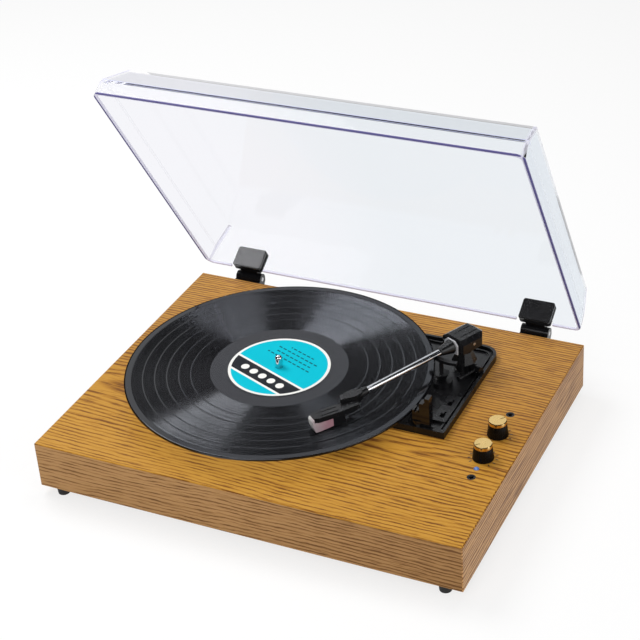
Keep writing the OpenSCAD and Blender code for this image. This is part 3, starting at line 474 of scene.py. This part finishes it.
def vinyl():
    """Pressed record: grooves that stretch highlights along the radius, smooth gaps, dead wax and rim."""
    shader = Shader("vinyl", Specular_IOR_Level=0.60, Specular_Tint=(0.85, 0.90, 1.0, 1.0))
    x, y, radius = shader.from_spindle()
    grooved = shader.inside(radius, GROOVE_START, GROOVE_END)
    band = shader.divided(shader.minus(GROOVE_END, radius), BAND_WIDTH)
    inner_band = shader.above(band, BANDS - 0.5)
    from_gap = shader.plus(shader.math("PINGPONG", band, 0.5), inner_band)
    gap = shader.times(grooved, shader.below(from_gap, BAND_GAP))
    cut = shader.minus(grooved, gap)
    loudness = shader.noise(shader.vector(shader.times(radius, LOUDNESS_CHANGES), 0.0), scale=1.0, detail=3.0)
    shader.colour(shader.mix(loudness, *VINYL))
    shader.roughness(shader.between(cut, low=0.12, high=shader.between(loudness, 0.13, 0.21)))
    waves = shader.math("SINE", shader.times(radius, 2.0 * math.pi / GROOVE_PITCH))
    walls = shader.least(shader.most(shader.times(waves, 3.0), -1.0), 1.0)
    slope = shader.times(shader.times(walls, cut), shader.between(loudness, *GROOVE_SLOPES))
    edge = shader.times(shader.step(radius, RECORD_RADIUS - ROUNDED_EDGE, RECORD_RADIUS), EDGE_SLOPE)
    tilt = shader.divided(shader.plus(slope, edge), radius)
    lean = shader.node("VectorMath", {0: shader.vector(x, y), "Scale": tilt}, operation="SCALE").outputs[0]
    leant = shader.node("VectorMath", {0: shader.normal(), 1: lean}, operation="ADD").outputs[0]
    unit = shader.node("VectorMath", {0: leant}, operation="NORMALIZE").outputs[0]
    shader.put(shader.surface.inputs["Normal"], unit)
    return shader.material


def print_stripe(shader, paper, u, v):
    """Dark stripe with white borders and a row of white dots."""
    low, high = STRIPE
    paper = shader.mix(shader.inside(v, low - STRIPE_BORDER, high + STRIPE_BORDER), paper, LABEL_WHITE)
    paper = shader.mix(shader.inside(v, low, high), paper, STRIPE_INK)
    from_row = shader.minus(v, (low + high) / 2.0)
    from_dot = shader.length(shader.math("PINGPONG", u, DOT_SPACING / 2.0), from_row)
    reach = DOTS * DOT_SPACING / 2.0
    dot = shader.times(shader.below(from_dot, DOT_RADIUS), shader.inside(u, -reach, reach))
    return shader.mix(dot, paper, LABEL_WHITE)


def print_bars(shader, paper, u, v):
    """Rows of bars, each broken into dashes."""
    for row, reach in enumerate(BAR_REACHES):
        low = FIRST_BAR - BAR_SPACING * row
        along = shader.math("FRACT", shader.scaled(u, DASHES_PER_METRE, DASH_SHIFT * row))
        bar = shader.times(shader.inside(v, low, low + BAR_HEIGHT), shader.inside(u, -reach, reach))
        dash = shader.times(bar, shader.below(along, DASH_SHARE))
        paper = shader.mix(dash, paper, BAR_INK)
    return paper


def label_paper():
    """Printed label of a generic design: white rim, turquoise field, rows of bars over a dotted stripe."""
    shader = Shader("label_paper", Roughness=0.5, Specular_IOR_Level=0.05)
    x, y, radius = shader.from_spindle()
    cosine, sine = math.cos(LABEL_TURN), math.sin(LABEL_TURN)
    u = shader.plus(shader.times(x, cosine), shader.times(y, sine))
    v = shader.minus(shader.times(y, cosine), shader.times(x, sine))
    fibre = shader.noise(shader.coordinates(), scale=1800.0)
    paper = shader.mix(fibre, *TURQUOISE)
    paper = print_stripe(shader, paper, u, v)
    paper = print_bars(shader, paper, u, v)
    rim = shader.above(radius, LABEL_RADIUS - LABEL_RIM)
    shader.colour(shader.mix(rim, paper, LABEL_WHITE))
    shader.bump(fibre, strength=0.15, distance=0.00005)
    return shader.material


def stylus_plastic():
    """Clear tinted plastic of the stylus holder, pink further back, whitish at the front where a highlight is
    painted.
    """
    shader = Shader("stylus_plastic", Roughness=0.15)
    low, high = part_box("stylus_holder")
    along = shader.divided(shader.minus(shader.place()[0], low.x), high.x - low.x)
    cloudy = shader.noise(shader.coordinates(), scale=500.0)
    tint = shader.scaled(cloudy, factor=0.3, shift=shader.minus(along, 0.15))
    # The ramp paints a highlight that whitens the front end over the pink tint
    shader.colour(shader.ramp(tint, STYLUS_TINT_AND_HIGHLIGHT))
    shader.bump(cloudy, strength=0.1, distance=0.00002)
    return shader.material


class CoverSheet(Shader):
    """Clear sheet that knows how far each spot lies from the cover's outer faces."""

    def __init__(self, name, **sockets):
        super().__init__(name, **sockets)
        shutting = {"Vector": self.coordinates(), "Center": COVER_HINGE, "Angle": math.radians(COVER_ANGLE)}
        shut = self.node("VectorRotate", shutting, rotation_type="X_AXIS").outputs[0]
        self.x, y, z = self.split(shut)
        self.height = self.minus(z, COVER_RIM)
        self.drop = self.minus(COVER_HEIGHT, self.height)
        self.front = self.minus(self.minus(y, COVER_FRONT), self.lean(*COVER_FRONT_LEAN))
        self.back = self.minus(COVER_BACK, y)
        self.side = self.minus(self.minus(COVER_HALF_WIDTH, self.size(self.x)), self.lean(*COVER_SIDE_LEAN))
        self.end = self.least(self.front, self.back)
        self.wall = self.least(self.end, self.side)

    def lean(self, crease, top):
        """Distance a wall has leant inwards at this height."""
        lower = self.rise(self.height, 0.0, COVER_CREASE, crease)
        upper = self.rise(self.height, COVER_CREASE, COVER_HEIGHT, top - crease)
        return self.plus(lower, upper)

    def narrow(self, distance, depth):
        """1 close to a face, 0 from the depth on."""
        return self.step(distance, depth, 0.6 * depth)

    def edges(self):
        """Edges where the sheet's own tint gathers: where each lies, its strength and its colour."""
        outer = self.narrow(self.least(self.wall, self.drop), OUTER_SKIN)
        entering = self.minus(1.0, self.node("NewGeometry").outputs["Backfacing"])
        roof = self.narrow(self.most(self.wall, self.drop), ROOF_EDGE)
        roof = self.times(roof, self.times(outer, entering))
        crease = self.narrow(self.size(self.minus(self.height, COVER_CREASE)), CREASE_LINE)
        side_crease = self.times(crease, self.narrow(self.side, CREASE_IN_SIDE))
        front_crease = self.times(crease, self.narrow(self.front, CREASE_IN_FRONT))
        corner = self.narrow(self.most(self.end, self.side), CORNER_EDGE)
        lower_edge = self.narrow(self.height, LOWER_EDGE)
        rim = self.times(self.narrow(self.height, RIM_HEIGHT), self.narrow(self.wall, RIM_DEPTH))
        rim = self.times(rim, self.step(self.back, *RIM_START))
        return (
            (roof, 0.60, (0.94, 0.94, 0.98, 1)),
            (side_crease, 0.12, (0.55, 0.55, 0.68, 1)),
            (front_crease, 0.70, (0.52, 0.56, 0.95, 1)),
            (corner, 0.60, (0.66, 0.65, 0.82, 1)),
            (lower_edge, 0.70, (0.66, 0.64, 0.84, 1)),
            (rim, 0.92, (0.05, 0.04, 0.20, 1)),
        )


def clear_acrylic():
    """Clear sheet of the cover: a faint veil from lilac to bluish, with tinted and less clear edges."""
    sheet = CoverSheet("clear_acrylic", Roughness=0.02, IOR=1.08)
    cloudy = sheet.noise(sheet.coordinates(), scale=3.0)
    haze = sheet.scaled(cloudy, factor=0.5, shift=sheet.step(sheet.x, low=-0.16, high=0.10))
    tint = sheet.mix(haze, LILAC, BLUISH)
    tint = sheet.mix(sheet.narrow(sheet.front, FRONT_WALL), tint, WHITE)
    clear = 1.0
    for edge, strength, colour in sheet.edges():
        tint = sheet.mix(sheet.times(edge, strength), tint, colour)
        clear = sheet.times(clear, sheet.scaled(edge, factor=-strength, shift=1.0))
    sheet.colour(tint)
    sheet.put(sheet.surface.inputs["Transmission Weight"], clear)
    return sheet.material


def make_finishes():
    """Every material, by the name of its slot in the record. The last five makers have their slots' names."""
    finishes = {slot: moulded_plastic(slot, **finish) for slot, finish in PLASTICS.items()}
    finishes |= {slot: metal(slot, **finish) for slot, finish in METALS.items()}
    for make in (wood_laminate, vinyl, label_paper, stylus_plastic, clear_acrylic):
        finishes[make.__name__] = make()
    return finishes


def dress_nodes():
    """Gives every CAD node its material. The cover casts no shadow and the record no hard one."""
    finishes = make_finishes()
    for part in frame["record"]["subparts"]:
        for slot in frame["nodes"][part["node"]].material_slots:
            slot.material = finishes[part["material_slot"]]
    lid = frame["nodes"]["lid"]
    lid.visible_shadow = False
    lid.visible_diffuse = False
    frame["nodes"]["record"].visible_shadow = False


def add_object(name, data):
    """New object in the scene."""
    added = bpy.data.objects.new(name, data)
    bpy.context.scene.collection.objects.link(added)
    return added


def mesh_of(name, form):
    """Mesh with the shape of a finished form."""
    mesh = bpy.data.meshes.new(name)
    form.to_mesh(mesh)
    form.free()
    return mesh


def add_mark(form, knob, angle):
    """One flat mark beside a knob, at an angle in degrees."""
    low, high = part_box(knob)
    middle = (low + high) / 2.0
    inner = (high.x - low.x) / 2.0 + MARK_CLEARANCE
    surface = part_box("plinth_case")[1].z
    place = Matrix.Translation((middle.x, middle.y, surface + INK_THICKNESS / 2.0))
    spin = Matrix.Rotation(math.radians(angle), 4, "Z")
    reach = Matrix.Translation((inner + MARK_LENGTH / 2.0, 0.0, 0.0))
    size = Matrix.Diagonal((MARK_LENGTH, MARK_WIDTH, INK_THICKNESS, 1.0))
    bmesh.ops.create_cube(form, size=1.0, matrix=place @ spin @ reach @ size)


def add_dial_marks():
    """Short printed marks round each knob, spread over its turn from the pointer's place at rest."""
    form = bmesh.new()
    for joint, knob, pointer, count in DIALS:
        for mark in range(count):
            turned = joints[joint]["range_deg"][1] * mark / (count - 1)
            add_mark(form, knob, pointer - turned)
    marks = add_object("dial_marks", mesh_of("dial_marks", form))
    marks.data.materials.append(moulded_plastic("dial_ink", **DIAL_INK))
    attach(marks, "case")


def add_camera():
    """Camera at the photo's viewing angle."""
    yaw, pitch, roll = (math.radians(angle) for angle in (CAMERA_YAW, CAMERA_PITCH, CAMERA_ROLL))
    back = Vector((math.sin(yaw) * math.cos(pitch), -math.cos(yaw) * math.cos(pitch), math.sin(pitch)))
    level = Vector((math.cos(yaw), math.sin(yaw), 0.0))
    steep = back.cross(level)
    right = level * math.cos(roll) + steep * math.sin(roll)
    up = steep * math.cos(roll) - level * math.sin(roll)
    data = bpy.data.cameras.new("camera")
    data.sensor_width = CAMERA_SENSOR
    data.lens = CAMERA_LENS
    camera = add_object("camera", data)
    turn = Matrix((right, up, back)).transposed().to_4x4()
    camera.matrix_world = Matrix.Translation(CAMERA_PLACE) @ turn
    bpy.context.scene.camera = camera


def add_lamps():
    """Soft rectangular lamps."""
    for name, place, size, power in LAMPS:
        data = bpy.data.lights.new(name, "AREA")
        data.shape = "RECTANGLE"
        data.size, data.size_y = size
        data.energy = power
        aim = Vector(LAMP_TARGET) - Vector(place)
        turn = aim.to_track_quat("-Z", "Y").to_matrix().to_4x4()
        add_object(name, data).matrix_world = Matrix.Translation(place) @ turn


def add_world():
    """White to the camera and through the cover, pale to what it lights, bright at the back in gloss."""
    world = bpy.data.worlds.new("studio")
    world.use_nodes = True
    nodes = Nodes(world.node_tree)
    path = nodes.node("LightPath").outputs
    direction = nodes.node("TexCoord").outputs["Generated"]
    facing = nodes.node("VectorMath", {0: direction, 1: MIRRORED_DIRECTION}, operation="DOT_PRODUCT")
    mirrored = nodes.between(nodes.step(facing.outputs["Value"], *MIRRORED_REACH), *MIRRORED_LEVELS)
    met_gloss = nodes.above(path["Glossy Depth"], 0.5)
    unmet = nodes.below(nodes.plus(path["Diffuse Depth"], met_gloss), 0.5)
    level = nodes.between(met_gloss, WORLD_LEVEL, mirrored)
    sky = world.node_tree.nodes["Background"]
    nodes.put(sky.inputs["Color"], WHITE)
    nodes.put(sky.inputs["Strength"], nodes.between(unmet, level, 1.0))
    world.cycles.sampling_method = "NONE"
    bpy.context.scene.world = world


def floor_paper():
    """White paper: it shows a soft shadow to the camera and is plain white through the cover and in gloss."""
    shader = Shader("floor", Roughness=0.9, Specular_IOR_Level=0.0)
    paper = shader.noise(shader.coordinates(), scale=120.0)
    shader.colour(shader.mix(paper, (0.93, 0.93, 0.93, 1), (0.96, 0.96, 0.96, 1)))
    glow = shader.node("Emission", {"Color": WHITE, "Strength": 1.0}).outputs[0]
    path = shader.node("LightPath").outputs
    mirrored = shader.most(path["Is Transmission Ray"], path["Is Glossy Ray"])
    share = shader.scaled(path["Is Camera Ray"], FLOOR_GLOW, mirrored)
    blend = shader.node("MixShader", {0: share, 1: shader.surface.outputs[0], 2: glow})
    shader.put(shader.tree.nodes["Material Output"].inputs["Surface"], blend.outputs[0])
    return shader.material


def add_floor():
    """Flat floor under the feet."""
    form = bmesh.new()
    bmesh.ops.create_grid(form, x_segments=1, y_segments=1, size=FLOOR_SIZE)
    floor = add_object("floor", mesh_of("floor", form))
    floor.location.z = cad_box[0][2]
    floor.data.materials.append(floor_paper())


dress_nodes()
add_dial_marks()
add_camera()
add_lamps()
add_world()
add_floor()
bpy.context.scene.view_settings.view_transform = "Standard"
